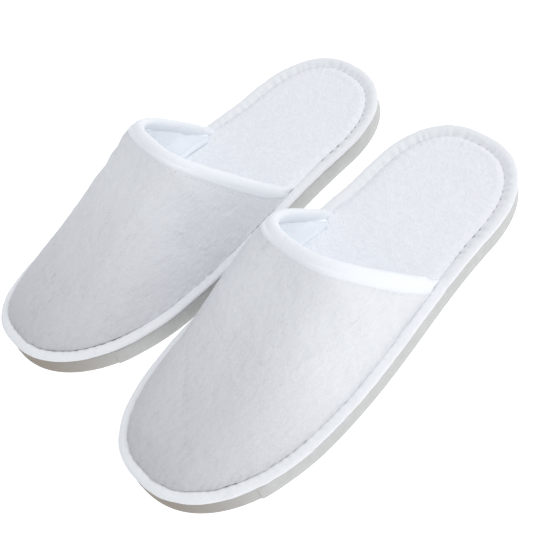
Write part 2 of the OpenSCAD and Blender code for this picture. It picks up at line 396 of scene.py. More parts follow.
def grid_faces(rows, cols, wrap_rows=False, wrap_cols=False, first=0):
    r = np.arange(rows if wrap_rows else rows - 1)
    c = np.arange(cols if wrap_cols else cols - 1)
    i, j = np.meshgrid(r, c, indexing="ij")
    i, j = i.ravel(), j.ravel()
    a, b = i * cols + j, i * cols + (j + 1) % cols
    d, e = ((i + 1) % rows) * cols + (j + 1) % cols, ((i + 1) % rows) * cols + j
    return (np.column_stack([a, b, d, e]) + first).tolist()


def normals_of(grid, wrap_rows=False, wrap_cols=False):
    """Unit normals of a grid of points [rows, cols, 3]."""
    def difference(axis, wrap):
        if wrap:
            return np.roll(grid, -1, axis) - np.roll(grid, 1, axis)
        return np.gradient(grid, axis=axis)
    n = np.cross(difference(0, wrap_rows), difference(1, wrap_cols))
    size = np.linalg.norm(n, axis=2, keepdims=True)
    return n / np.maximum(size, 1e-9)


def fill_across(points, ring, columns, height):
    """Fills a ring that is symmetrical left to right with a grid of faces, row by row.
    ring lists its vertex numbers from the toe's tip; height(x, y) gives the fill's height."""
    n = len(ring)
    rows = [[ring[0]] * (columns + 1)]
    added = []
    for k in range(1, n // 2):
        right, left = points[ring[k]], points[ring[n - k]]
        t = np.arange(1, columns) / columns
        xy = left[None, :2] + (right - left)[None, :2] * t[:, None]
        base = len(points) + len(added) * (columns - 1)
        added.append(np.column_stack([xy, height(xy[:, 0], xy[:, 1])]))
        rows.append([ring[n - k]] + list(range(base, base + columns - 1)) + [ring[k]])
    rows.append([ring[n // 2]] * (columns + 1))
    faces = []
    for a, b in zip(rows[:-1], rows[1:]):
        for j in range(columns):
            quad = [a[j], a[j + 1], b[j + 1], b[j]]
            face = [v for i, v in enumerate(quad) if v != quad[i - 1]]
            if len(face) >= 3:
                faces.append(face)
    return np.vstack([points] + added), faces


def ring_body(start, rings, arcs, columns, top, bottom, ripple=None):
    """A body on the outline from rings of (inset beyond start(y), height), closed across at
    both ends. top(x, y) and bottom(x, y) are the heights of its two closing faces. Away from
    its edge the body follows the curl under each point rather than the curl of the edge."""
    edge_y = EDGE.at(arcs)[0][:, 1]
    h = heelward(edge_y)
    grid = []
    for d, z in rings:
        p = EDGE.inset(arcs, start(edge_y) + d)
        own = ease(d / 8.0)
        grid.append(np.column_stack([p, z + mix(rise(edge_y), rise(p[:, 1]), own)]))
    grid = np.array(grid)
    if ripple:
        grid = ripple(grid, arcs, h)
    n = len(arcs)
    faces = grid_faces(len(rings), n, wrap_cols=True)
    points = grid.reshape(-1, 3)
    points, low = fill_across(points, list(range(n)), columns, bottom)
    last = (len(rings) - 1) * n
    points, high = fill_across(points, list(range(last, last + n)), columns, top)
    return points, faces + [f[::-1] for f in low] + high


ARCS = np.arange(EDGE_STEPS) * EDGE.length / EDGE_STEPS


# ---- Materials --------------------------------------------------------------------------

class Nodes:
    """A material's node tree with short calls to add and link nodes."""

    def __init__(self, name):
        self.material = bpy.data.materials.new(name)
        self.material.use_nodes = True
        self.tree = self.material.node_tree
        self.tree.nodes.clear()
        self.shader = self.add("ShaderNodeBsdfPrincipled")
        out = self.add("ShaderNodeOutputMaterial")
        self.link(self.shader, "BSDF", out, "Surface")
        self.coords = self.add("ShaderNodeTexCoord")

    def add(self, kind, **values):
        node = self.tree.nodes.new(kind)
        for key, value in values.items():
            if hasattr(node, key):
                setattr(node, key, value)
        return node

    def link(self, a, out, b, into):
        self.tree.links.new(a.outputs[out], b.inputs[into])

    def space(self, scale=(1, 1, 1), degrees=0):
        m = self.add("ShaderNodeMapping")
        m.inputs["Scale"].default_value = scale
        m.inputs["Rotation"].default_value = (0, 0, math.radians(degrees))
        self.link(self.coords, "Object", m, "Vector")
        return m

    def noise(self, scale, detail=3, rough=0.6, distortion=0.0, space=None):
        n = self.add("ShaderNodeTexNoise")
        n.inputs["Scale"].default_value = scale
        n.inputs["Detail"].default_value = detail
        n.inputs["Roughness"].default_value = rough
        n.inputs["Distortion"].default_value = distortion
        if space:
            self.link(space, "Vector", n, "Vector")
        else:
            self.link(self.coords, "Object", n, "Vector")
        return n

    def ramp(self, source, out, stops):
        r = self.add("ShaderNodeValToRGB")
        e = r.color_ramp.elements
        while len(e) < len(stops):
            e.new(0.5)
        for item, (place, colour) in zip(e, stops):
            item.position = place
            item.color = (*colour, 1) if len(colour) == 3 else colour
        self.link(source, out, r, "Fac")
        return r

    def math(self, kind, a, b):
        m = self.add("ShaderNodeMath")
        m.operation = kind
        for k, v in enumerate((a, b)):
            if isinstance(v, tuple):
                self.tree.links.new(v[0].outputs[v[1]], m.inputs[k])
            else:
                m.inputs[k].default_value = v
        return m

    def bump(self, height, out, strength, distance, before=None):
        b = self.add("ShaderNodeBump")
        b.inputs["Strength"].default_value = strength
        b.inputs["Distance"].default_value = distance
        self.link(height, out, b, "Height")
        if before:
            self.link(before, "Normal", b, "Normal")
        return b

    def painted_glow(self, strength):
        """Painted light: a faint bluish emission that lifts cloth where it sits in shade, standing in for
        light that passes through it.
        """
        self.shader.inputs["Emission Color"].default_value = (0.86, 0.94, 1.0, 1)
        self.shader.inputs["Emission Strength"].default_value = strength

    def toned(self, colour, kind, tint, axis, start, stop):
        """The colour mixed with a tint: fully below start on the axis, and not at all past stop."""
        split = self.add("ShaderNodeSeparateXYZ")
        self.link(self.coords, "Object", split, "Vector")
        level = self.add("ShaderNodeMapRange")
        level.inputs["From Min"].default_value = stop * MM
        level.inputs["From Max"].default_value = start * MM
        self.link(split, axis, level, "Value")
        blend = self.add("ShaderNodeMix")
        blend.data_type = "RGBA"
        blend.blend_type = kind
        self.link(level, "Result", blend, "Factor")
        self.link(colour, "Color", blend, "A")
        blend.inputs["B"].default_value = (*tint, 1)
        return blend

    def finish(self, colour, colour_out, bump, roughness, sheen=0.0, sheen_roughness=0.5,
               specular=0.25, rough_from=None):
        s = self.shader
        self.link(colour, colour_out, s, "Base Color")
        self.link(bump, "Normal", s, "Normal")
        s.inputs["Roughness"].default_value = roughness
        s.inputs["Specular IOR Level"].default_value = specular
        s.inputs["Sheen Weight"].default_value = sheen
        s.inputs["Sheen Roughness"].default_value = sheen_roughness
        s.inputs["Sheen Tint"].default_value = (0.97, 0.985, 1.0, 1)
        if rough_from:
            self.link(rough_from[0], rough_from[1], s, "Roughness")
        return self.material


def fleece(name, low, high, streak=1.0, patch_scale=70.0, sheen=0.25, slant=38, painted_glow=0.0, toe=None):
    """Brushed coral fleece: short pile in slanted streaks, with soft patches where it parts.
    toe is a tint that the colour is multiplied by towards the toe: painted shade that darkens the toe."""
    n = Nodes(name)
    # Painted light: the fleece is given that faint emission at the strength passed in.
    n.painted_glow(painted_glow)
    patches = n.noise(patch_scale, 5, 0.62, 1.2, n.space((1, 0.6, 1), slant))
    wisps = n.noise(330, 4, 0.7, 1.8, n.space((1, 0.34, 0.8), slant))
    pile = n.noise(1500, 3, 0.7, 0.6, n.space((1, 0.45, 1), slant))
    both = n.math("ADD", (patches, "Fac"), (n.math("MULTIPLY", (wisps, "Fac"), 0.7), "Value"))
    fine = n.math("ADD", (both, "Value"), (n.math("MULTIPLY", (pile, "Fac"), 0.5), "Value"))
    colour = n.ramp(fine, "Value", [(0.74, low), (1.34, high)])
    colour.color_ramp.interpolation = "EASE"
    soft = n.bump(patches, "Fac", 0.35 * streak, 0.0012)
    mid = n.bump(wisps, "Fac", 0.55 * streak, 0.0009, soft)
    small = n.bump(pile, "Fac", 0.5, 0.00035, mid)
    rough = n.ramp(wisps, "Fac", [(0.3, (0.86,) * 3), (0.7, (0.98,) * 3)])
    # Painted shade: towards the toe the colour is multiplied by the toe tint.
    source = (n.toned(colour, "MULTIPLY", toe, "Y", -145, -40), "Result") if toe else (colour, "Color")
    return n.finish(*source, small, 0.93, sheen, 0.45, 0.2, (rough, "Color"))


def terry(name, low, high):
    """The insole's short looped pile: a tight grain with small swirls where loops lean."""
    n = Nodes(name)
    swirls = n.noise(120, 3, 0.6, 3.2)
    loops = n.add("ShaderNodeTexVoronoi")
    loops.inputs["Scale"].default_value = 780
    loops.inputs["Randomness"].default_value = 1.0
    n.link(n.coords, "Object", loops, "Vector")
    grain = n.noise(1300, 3, 0.7)
    height = n.math("ADD", (n.math("MULTIPLY", (loops, "Distance"), -0.8), "Value"),
                    (n.math("MULTIPLY", (swirls, "Fac"), 0.9), "Value"))
    colour = n.ramp(swirls, "Fac", [(0.34, low), (0.66, high)])
    first = n.bump(height, "Value", 0.45, 0.0007)
    second = n.bump(grain, "Fac", 0.4, 0.0003, first)
    rough = n.ramp(grain, "Fac", [(0.3, (0.88,) * 3), (0.7, (0.98,) * 3)])
    return n.finish(colour, "Color", second, 0.95, 0.2, 0.5, 0.2, (rough, "Color"))


def smooth_cloth(name, low, high):
    """The lining's brushed tricot: fine ribs and a faint nap, with a faint painted emission that lifts it
    where it sits in shade.
    """
    n = Nodes(name)
    n.painted_glow(0.13)
    nap = n.noise(90, 4, 0.6, 0.8)
    ribs = n.add("ShaderNodeTexWave")
    ribs.inputs["Scale"].default_value = 420
    ribs.inputs["Distortion"].default_value = 1.5
    ribs.inputs["Detail"].default_value = 2
    n.link(n.coords, "Object", ribs, "Vector")
    grain = n.noise(1800, 2, 0.6)
    colour = n.ramp(nap, "Fac", [(0.3, low), (0.7, high)])
    first = n.bump(ribs, "Fac", 0.12, 0.0002)
    second = n.bump(grain, "Fac", 0.3, 0.0002, first)
    rough = n.ramp(nap, "Fac", [(0.3, (0.8,) * 3), (0.7, (0.92,) * 3)])
    return n.finish(colour, "Color", second, 0.88, 0.15, 0.5, 0.25, (rough, "Color"))


def foam_skin(name, low, high, warm, warm_from, warm_to, axis="Z"):
    """Foam or coated tape: fine cells, light scuffs, and a warmer colour below warm_from."""
    n = Nodes(name)
    cells = n.add("ShaderNodeTexVoronoi")
    cells.inputs["Scale"].default_value = 1100
    n.link(n.coords, "Object", cells, "Vector")
    scuffs = n.noise(160, 5, 0.7, 0.8)
    base = n.ramp(scuffs, "Fac", [(0.3, low), (0.7, high)])
    blend = n.toned(base, "MIX", warm, axis, warm_from, warm_to)
    first = n.bump(cells, "Distance", 0.25, 0.0002)
    second = n.bump(scuffs, "Fac", 0.25, 0.0004, first)
    rough = n.ramp(scuffs, "Fac", [(0.3, (0.55,) * 3), (0.7, (0.72,) * 3)])
    return n.finish(blend, "Result", second, 0.62, 0.0, 0.5, 0.35, (rough, "Color"))


def spun(name, low, high):
    """Twisted sewing thread."""
    n = Nodes(name)
    twist = n.add("ShaderNodeTexWave")
    twist.inputs["Scale"].default_value = 900
    twist.inputs["Distortion"].default_value = 0.6
    n.link(n.coords, "Object", twist, "Vector")
    fuzz = n.noise(2600, 2, 0.6)
    colour = n.ramp(fuzz, "Fac", [(0.3, low), (0.7, high)])
    first = n.bump(twist, "Fac", 0.4, 0.0001)
    rough = n.ramp(fuzz, "Fac", [(0.3, (0.6,) * 3), (0.7, (0.75,) * 3)])
    return n.finish(colour, "Color", first, 0.65, 0.1, 0.5, 0.35, (rough, "Color"))


# Painted shade: the last tint darkens the upper's colour towards the toe.
UPPER = fleece("upper_fleece", (0.685, 0.698, 0.722), (0.80, 0.813, 0.842), 1.15, 62, 0.2,
               toe=(0.74, 0.73, 0.735))
WELT = fleece("welt_fleece", (0.78, 0.80, 0.83), (0.88, 0.895, 0.92), 0.5, 90, 0.22, 20)
# Painted light: the collar's fleece is given a faint emission (the last number) to lift it where it sits
# in shade.
COLLAR = fleece("collar_fleece", (0.79, 0.815, 0.855), (0.86, 0.88, 0.915), 0.35, 80, 0.2, 70, 0.04)
INSOLE = terry("insole_fleece", (0.865, 0.88, 0.92), (0.92, 0.932, 0.965))
LINING = smooth_cloth("lining", (0.84, 0.865, 0.90), (0.90, 0.92, 0.95))
THREAD = spun("thread", (0.74, 0.75, 0.78), (0.84, 0.85, 0.87))
SPONGE = foam_skin("sponge", (0.76, 0.74, 0.66), (0.82, 0.80, 0.72), (0.78, 0.76, 0.68), 0, 5)
BOARD = foam_skin("board", (0.60, 0.61, 0.62), (0.68, 0.69, 0.70), (0.60, 0.60, 0.60), 0, 5)
EVA = foam_skin("eva_foam", (0.66, 0.66, 0.66), (0.74, 0.74, 0.735), (0.60, 0.575, 0.54), 0, 4)
# Painted shade and a painted reflection of a brown floor: the tape's colour turns dark brown towards the
# toe.
TAPE = foam_skin("edge_tape", (0.52, 0.525, 0.515), (0.60, 0.605, 0.595), (0.27, 0.225, 0.18),
                 -146, -96, "Y")


# ---- Sole pieces ------------------------------------------------------------------------

def flat_at(z):
    return lambda x, y: z + rise(y)


def tread(y):
    """1 inside a tread groove, 0 outside, with sloped edges."""
    k = np.round((y + TREAD_SPAN / 2) / TREAD_PITCH)
    middle = k * TREAD_PITCH - TREAD_SPAN / 2
    inside = (np.abs(middle) <= TREAD_SPAN / 2 + 0.1)
    return inside * np.clip((TREAD_W / 2 + 0.35 - np.abs(y - middle)) / 0.5, 0, 1)


def outsole(side):
    rings = [(in_by + wall_inset(z), z) for in_by, z in
             ((1.1, 0.0), (0.5, 0.12), (0.12, 0.5), (0, 1.1), (0, 3.2), (0, OUTSOLE_T - 0.3),
              (0.3, OUTSOLE_T))]

    def bottom(x, y):
        p = np.column_stack([x, y, np.zeros_like(x)])
        return rise(y) + TREAD_DEPTH * tread(y) + 0.05 + 0.05 * noise(p, 4, 31)

    points, faces = ring_body(constant(TAPE_T - 0.2), rings, ARCS, 60,
                              flat_at(OUTSOLE_T), bottom)
    return make(f"{side}_foam_sole", points, faces, side, EVA, (f"{side}_front", f"{side}_heel"),
                ["outsole_front", "outsole_heel"], True)


def lap(arcs):
    """How far the tape's end stands over its start: a sharp end, then a long taper."""
    y = EDGE.at(arcs)[0][:, 1]
    right = np.mod(arcs, EDGE.length) < EDGE.heel_arc
    up = np.clip((y - OVERLAP_FROM) / 0.7, 0, 1)
    down = 1 - np.clip((y - OVERLAP_FROM - 1.5) / (OVERLAP_TO - OVERLAP_FROM - 1.5), 0, 1)
    return right * up * down


def edge_tape(side):
    low, high = TAPE_FOOT, TAPE_TOP + TAPE_RISE
    section = [(TAPE_T, low + 0.2), (0.15, low), (0.0, low + 0.45), (-0.14, 3.0), (-0.16, 5.8),
               (-0.06, high - 0.9), (0.08, high - 0.3), (0.35, high), (TAPE_T, high),
               (TAPE_T, 6), (TAPE_T, 3)]
    fine = []
    for k, (d, z) in enumerate(section):
        nd, nz = section[(k + 1) % len(section)]
        fine += [(mix(d, nd, t), mix(z, nz, t)) for t in (0, 1 / 3, 2 / 3)]
    arcs = np.sort(np.concatenate([ARCS, EDGE_JOINT]))
    edge_y = EDGE.at(arcs)[0][:, 1]
    step = lap(arcs) * TAPE_T
    rows = []
    for d, z in fine:
        outer = 1 - np.clip(d / TAPE_T, 0, 1)
        wave = 0.10 * np.sin(arcs * 0.21 + 0.5) + 0.07 * np.sin(arcs * 0.53)
        inset = wall_inset(z) + d - outer * (step + wave * np.clip((z - low) / high, 0, 1))
        rows.append(np.column_stack([EDGE.inset(arcs, inset), z + rise(edge_y)]))
    grid = np.array(rows)
    points = grid.reshape(-1, 3)
    faces = grid_faces(len(fine), len(arcs), True, True)
    return make(f"{side}_side_tape", points, faces, side, TAPE, (f"{side}_front", f"{side}_heel"),
                ["edge_tape_front", "edge_tape_heel"], True)


def joint_arcs():
    """Extra stations along the edge, close together where the tape's end steps up."""
    a = np.linspace(0, EDGE.heel_arc, 4000)
    y = EDGE.at(a)[0][:, 1]
    at = a[np.argmin(np.abs(y - OVERLAP_FROM))]
    return at + np.linspace(-0.5, 1.6, 12) + 0.013


EDGE_JOINT = joint_arcs()


def insole_board(side):
    rings = [(in_by + wall_inset(z), z) for in_by, z in
             ((0.3, OUTSOLE_T), (0, OUTSOLE_T + 0.3), (0, BOARD_TOP - 0.3), (0.3, BOARD_TOP))]
    points, faces = ring_body(constant(TAPE_T - 0.1), rings, ARCS[::2], EDGE_COLUMNS,
                              flat_at(BOARD_TOP), flat_at(OUTSOLE_T))
    return make(f"{side}_stiff_board", points, faces, side, BOARD,
                (f"{side}_front", f"{side}_heel"),
                ["insole_board_front", "insole_board_heel"], True)


def insole_foam(side):
    rings = [(0.4, BOARD_TOP), (0, BOARD_TOP + 0.5), (-0.2, (BOARD_TOP + PAD_TOP) / 2),
             (0, PAD_TOP - 0.5), (0.5, PAD_TOP)]
    points, faces = ring_body(pad_inset, rings, ARCS[::2], EDGE_COLUMNS, flat_at(PAD_TOP),
                              flat_at(BOARD_TOP))
    return make(f"{side}_pad_foam", points, faces, side, SPONGE,
                (f"{side}_front", f"{side}_heel"),
                ["insole_foam_front", "insole_foam_heel"], True)


def insole_cover(side, seed):
    crown = PAD_TOP + COVER_CROWN
    steps = np.concatenate([np.linspace(0, 4, 13), np.linspace(4.7, 10, 9)])
    rings = [(1.2, PAD_TOP + 0.05), (0.2, PAD_TOP + 0.05)]
    for d in steps:
        lift = 1 - (1 - np.clip(d / 9.5, 0, 1)) ** 2.8
        rings.append((d - 0.15, mix(PAD_TOP + 0.3, crown, lift)))

    def lumps(x, y):
        p = np.column_stack([x, y, np.zeros_like(x)])
        return nap(p, INSOLE_NAP, seed)

    def ripple(grid, arcs, heel):
        strength = mix(0.2, 0.5, heel)
        cut = pull(arcs, 2.2)
        for k in range(2, len(grid)):
            d = steps[k - 2]
            fade = np.exp(-d / 3.4) * (1 - np.exp(-(d + 0.4) / 0.8))
            swell = bell((d - 3.2) / 4.5)
            grid[k, :, 2] += strength * (0.55 * swell - 1.35 * fade * cut)
            share = np.clip(d / 6, 0, 1)
            grid[k, :, 2] += share * lumps(grid[k, :, 0], grid[k, :, 1])
            grid[k, :, 2] += 0.9 * bell((d - 2.5) / 6) * bell((grid[k, :, 1] - 41) / 8)
        return grid

    points, faces = ring_body(pad_edge, rings, ARCS, 76,
                              lambda x, y: crown + rise(y) + lumps(x, y),
                              flat_at(PAD_TOP + 0.05), ripple)
    piece = make(f"{side}_pad_cover", points, faces, side, INSOLE,
                 (f"{side}_front", f"{side}_heel"),
                 ["insole_cover_front", "insole_cover_heel"], True)
    return piece


# The roll's section: share of its width from the outer edge, and height over the board. The
# front stands full against the upper; the heel slopes down to the insole.
ROLL_FRONT = ((0.42, 0.6), (0.26, 2.4), (0.12, 4.0), (0.03, 5.6), (0.07, 7.0), (0.22, 8.1),
              (0.44, 8.5), (0.66, 8.55), (0.86, 8.3), (1.02, 7.4), (1.12, 5.4), (1.08, 1.8),
              (0.8, 0.5), (0.55, 0.2))
ROLL_HEEL = ((0.42, 0.6), (0.24, 2.4), (0.10, 4.0), (0.03, 5.6), (0.06, 7.0), (0.19, 8.1),
             (0.38, 8.5), (0.56, 8.2), (0.74, 7.3), (0.90, 6.0), (1.03, 4.7), (1.13, 3.6),
             (1.14, 1.6), (0.6, 0.2))


def rounded(section, count):
    """A closed line of evenly spaced points that rounds the section's corners."""
    line = np.array(section, float)
    for _ in range(4):
        ahead = np.roll(line, -1, 0)
        line = np.stack([0.75 * line + 0.25 * ahead, 0.25 * line + 0.75 * ahead], 1).reshape(-1, 2)
    closed = np.vstack([line, line[:1]]) * [7.0, 1.0]
    return even(closed, count + 1)[:-1] / [7.0, 1.0]


def welt(side, seed):
    """A soft roll of fleece around the sole, pinched along its inner side by the stitches."""
    sides = 40
    point, _ = EDGE.at(ARCS)
    h = heelward(point[:, 1])[:, None]
    section = (rounded(ROLL_FRONT, sides)[None] * (1 - h[..., None])
               + rounded(ROLL_HEEL, sides)[None] * h[..., None])
    width = 2 * welt_half(point[:, 1])[:, None]
    at_arc = np.column_stack([ARCS, np.zeros_like(ARCS), np.zeros_like(ARCS)])
    uneven = np.maximum(0, 1 + 0.9 * noise(at_arc, 17, seed + 5))[:, None]
    cut = pull(ARCS, 1.5)[:, None] * uneven
    share, tall = section[..., 0], section[..., 1] * WELT_H / ROLL_TALL
    upper = np.clip((tall - 1.6) / 2.4, 0, 1)
    inner = np.clip((share - 0.30) / 0.5, 0, 1) ** 1.3 * upper
    fat = 0.35 * noise(at_arc, 31, seed + 6) + 0.2 * noise(at_arc, 12, seed + 7)
    inset = WELT_INSET + share * width - inner * cut * mix(0.18, 0.28, h)
    z = (BOARD_TOP + tall - inner * cut * mix(0.22, 0.34, h)
         + upper * (fat[:, None] * 0.5 + 0.12 * inner * (1 - cut) * h))
    grid = np.zeros((len(ARCS), sides, 3))
    for j in range(sides):
        grid[:, j] = np.column_stack([EDGE.inset(ARCS, inset[:, j]), z[:, j] + rise(point[:, 1])])
    flat = grid.reshape(-1, 3)
    out = normals_of(grid, True, True).reshape(-1, 3)
    out *= np.sign((out.reshape(grid.shape)[..., 2] * (tall - 3)).sum())
    points = flat + out * (nap(flat, WELT_NAP, seed) - 0.05)[:, None]
    faces = grid_faces(len(ARCS), sides, True, True)
    piece = make(f"{side}_edge_roll", points, faces, side, WELT, (f"{side}_front", f"{side}_heel"),
                 ["welt_front", "welt_heel"], True)
    return piece


def capsule(a, b, radius, sag, around=8, along=9):
    """A stitch between two points as a rounded, slightly sagging rod."""
    axis = b - a
    length = np.linalg.norm(axis)
    axis = axis / length
    side = np.cross(axis, [0, 0, 1.0])
    side /= np.linalg.norm(side)
    up = np.cross(side, axis)
    t = (1 - np.cos(np.linspace(0, np.pi, along))) / 2
    rows = []
    for u in t:
        r = radius * math.sqrt(max(0.0, 1 - abs(2 * u - 1) ** 3.2)) + 0.02
        centre = a + (b - a) * u - np.array([0, 0, 1.0]) * sag * (2 * u - 1) ** 2
        angle = 2 * np.pi * np.arange(around) / around
        rows.append(centre + r * (np.cos(angle)[:, None] * side + np.sin(angle)[:, None] * up))
    points = np.vstack(rows)
    faces = grid_faces(along, around, wrap_cols=True)
    faces.append(list(range(around))[::-1])
    faces.append(list(range((along - 1) * around, along * around)))
    return points, faces


def many(parts):
    points, faces, first = [], [], 0
    for p, f in parts:
        points.append(p)
        faces += [[v + first for v in q] for q in f]
        first += len(p)
    return np.vstack(points), faces


def welt_stitching(side):
    a = np.linspace(0, EDGE.length, 20001)
    phase = stitch_phase(a[:-1])
    count = int(round(phase[-1]))
    holes = np.interp(np.arange(count), phase, a[:-1])
    parts = []
    for k in range(count):
        ends = np.array([holes[k], holes[(k + 1) % count]])
        if ends[1] < ends[0]:
            ends[1] += EDGE.length
        if ends[1] - ends[0] > 20:
            continue
        ends = ends + np.array([0.5, -0.5])
        p, _ = EDGE.at(ends)
        xy = EDGE.inset(ends, welt_inner(p[:, 1]) + 0.3)
        z = WELT_Z + 0.2 + rise(p[:, 1])
        q = np.column_stack([xy, z])
        parts.append(capsule(q[0], q[1], 0.28, 0.7))
    points, faces = many(parts)
    return make(f"{side}_edge_stitches", points, faces, side, THREAD,
                (f"{side}_front", f"{side}_heel"),
                ["welt_stitching_front", "welt_stitching_heel"], True)


# ---- Upper pieces -----------------------------------------------------------------------

def across(count):
    """Shares of the half width from -1 to 1, closer together towards both ends."""
    right = 1 - (1 - np.linspace(0, 1, count)) ** 2.2
    return np.concatenate([-right[:0:-1], right])


def collar_line(back, d, s):
    """Points on the collar's line at shares s of the half width, moved back towards the toe and
    d under the outer face."""
    y = collar_y(s) - back
    return np.column_stack([s * np.interp(y, *EDGE.table(SWELL_INSET + d)), y, arch_z(s, y, d)])


def even(points, count):
    """A line of points spaced evenly along its length."""
    steps = np.linalg.norm(np.diff(points, axis=0), axis=1)
    at = np.concatenate([[0], np.cumsum(steps)])
    to = np.linspace(0, at[-1], count)
    return np.column_stack([np.interp(to, at, points[:, k]) for k in range(points.shape[1])])


def smoothed(line, passes):
    """Rounds the corners of lines [count, rows, 3], keeping their ends."""
    for _ in range(passes):
        line[:, 1:-1] = 0.5 * line[:, 1:-1] + 0.25 * (line[:, :-2] + line[:, 2:])
    return line


def vamp_grid(d, cols, rows, back, passes=14):
    """Points [cols, rows, 3] of the vamp's surface that lies d under its outer face. Columns
    run from the groove up to the collar, from the left end round the toe to the right end."""
    table = EDGE.table(SWELL_INSET + d)
    collar = even(collar_line(back, d, across(1500)), cols)
    side_y = COLLAR_SIDE_Y - back
    a = np.linspace(0, EDGE.heel_arc, 6000)
    end = np.interp(side_y, EDGE.inset(a, np.full(len(a), SWELL_INSET + d))[:, 1], a)
    arcs = np.linspace(-end, end, cols)
    foot = EDGE.inset(arcs, np.full(cols, SWELL_INSET + d))
    steps = 320
    t = np.linspace(0, 1, steps)
    x = foot[:, :1] + (collar[:, :1] - foot[:, :1]) * t
    y = foot[:, 1:] + (collar[:, 1:2] - foot[:, 1:]) * t
    width = np.interp(y, *table)
    ratio = np.clip(x / np.maximum(width, 1e-6), -1, 1)
    arch = np.stack([x, y, arch_z(ratio, y, d)], axis=2)
    edge_y = EDGE.at(arcs)[0][:, 1]
    wall = []
    knots = [(BASE_INSET + d, BOARD_TOP + 0.1), (BASE_INSET - 0.1 + d, WELT_Z),
             (BASE_INSET - LIP_REACH + 0.9 * d, LIP_Z + LIP_LEAN * d)]
    for k, (inset, z) in enumerate(knots):
        nxt = knots[k + 1] if k + 1 < len(knots) else (SWELL_INSET + d, SWELL_Z + 0.4 * d)
        for u in np.linspace(0, 1, 12, endpoint=False):
            p = EDGE.inset(arcs, np.full(cols, mix(inset, nxt[0], u)))
            wall.append(np.column_stack([p, mix(z, nxt[1], u) + rise_inside(p[:, 1], inset)]))
    lines = np.concatenate([np.stack(wall, axis=1), arch], axis=1)
    dense = np.array([even(line, rows * 2) for line in lines])
    smooth = smoothed(dense, passes)
    return np.array([even(line, rows) for line in smooth]), arcs


def shell(outer, inner):
    """A closed shell between two grids of points that run alongside each other."""
    cols, rows = outer.shape[:2]
    points = np.vstack([outer.reshape(-1, 3), inner.reshape(-1, 3)])
    n = cols * rows
    faces = grid_faces(cols, rows)
    faces += [f[::-1] for f in grid_faces(cols, rows, first=n)]
    index = np.arange(n).reshape(cols, rows)
    rim = np.concatenate([index[:, 0], index[-1, 1:], index[-2::-1, -1], index[0, -2:0:-1]])
    nxt = np.roll(rim, -1)
    faces += [[int(b), int(a), int(a + n), int(b + n)] for a, b in zip(rim, nxt)]
    return points, faces


def outward(grid):
    n = normals_of(grid)
    flip = np.sign((n[..., 2]).mean())
    return n * flip


def upper_outer(side, seed, creases):
    grid, arcs = vamp_grid(0.0, VAMP_COLS, VAMP_ROWS, COLLAR_LAP)
    inner, _ = vamp_grid(FLEECE_T, VAMP_COLS, VAMP_ROWS, COLLAR_LAP)
    n = outward(grid)
    p = grid.reshape(-1, 3)
    out = n.reshape(-1, 3)
    length = np.cumsum(np.linalg.norm(np.diff(grid, axis=1, prepend=grid[:, :1]), axis=2), axis=1)
    up = length - length[:, :1]
    cut = pull(arcs, 1.3)[:, None]
    hold = np.clip((up - 2) / 6, 0, 1).ravel()
    lift = hold * nap(p, VAMP_NAP, seed)
    at_arc = np.column_stack([arcs, np.zeros_like(arcs), np.zeros_like(arcs)])
    uneven = (1 + 0.8 * noise(at_arc, 9, seed + 8))[:, None]
    scallop = -0.25 * np.exp(-((up - 8.5) / 2.6) ** 2) * cut * uneven
    tuft = 0.35 * noise(p, 3.4, seed + 9) * np.exp(-((up - 8) / 4) ** 2).ravel()
    lift += scallop.ravel() + tuft
    for centre, along, half_len, half_w, depth in creases:
        lift += crease(p, centre, along, half_len, half_w, depth)
    lift *= (0.12 + 0.88 * ease((length[:, -1:] - length - 5) / 9)).ravel()
    lift = np.where(lift < 0, -DENT * np.tanh(-lift / DENT), lift)
    moved = p + out * lift[:, None]
    points, faces = shell(moved.reshape(grid.shape), inner)
    piece = make(f"{side}_vamp_fleece", points, faces, side, UPPER, (f"{side}_front",),
                 ["upper_outer"])
    return piece


def crease(p, centre, degrees, half_len, half_w, depth):
    """A soft fold seen in plan: a shallow valley with a rounded lip beside it."""
    c, s = math.cos(math.radians(degrees)), math.sin(math.radians(degrees))
    dx, dy = p[:, 0] - centre[0], p[:, 1] - centre[1]
    along = (dx * c + dy * s) / half_len
    across = (-dx * s + dy * c) / half_w
    return depth * bell(along) * (-bell(across) + 0.7 * bell(across - 1.3))


def upper_foam(side):
    outer, _ = vamp_grid(FLEECE_T + 0.3, FOAM_COLS, FOAM_ROWS, 3.5, 20)
    inner, _ = vamp_grid(FLEECE_T + FOAM_T, FOAM_COLS, FOAM_ROWS, 3.5, 20)
    points, faces = shell(outer, inner)
    piece = make(f"{side}_vamp_foam", points, faces, side, SPONGE, (f"{side}_front",),
                 ["upper_foam"])
    return piece


def upper_lining(side, seed, creases):
    under = FLEECE_T + FOAM_T + 0.1
    outer, _ = vamp_grid(under, LINING_COLS, LINING_ROWS, COLLAR_LAP, 40)
    inner, arcs = vamp_grid(FLEECE_T + FOAM_T + LINING_T, LINING_COLS, LINING_ROWS, COLLAR_LAP, 60)
    over = inner[..., 2] - rise(inner[..., 1])
    fall = np.where(over > 17, bell((over - 17) / 18), 1.0)
    inner[..., :2] -= (2.6 * ease((over - 10.5) / 6) * fall)[..., None] * EDGE.at(arcs)[1][:, None]
    n = outward(inner)
    p = inner.reshape(-1, 3)
    lift = -0.25 - 0.24 * noise(p, 24, seed) - 0.15 * noise(p, 9, seed + 1)
    for centre, along, half_len, half_w, depth in creases:
        lift += crease(p, centre, along, half_len, half_w, depth)
    inner = (p + n.reshape(-1, 3) * np.minimum(lift, 0.3)[:, None]).reshape(inner.shape)
    points, faces = shell(outer, inner)
    piece = make(f"{side}_vamp_lining", points, faces, side, LINING, (f"{side}_front",),
                 ["upper_lining"])
    return piece


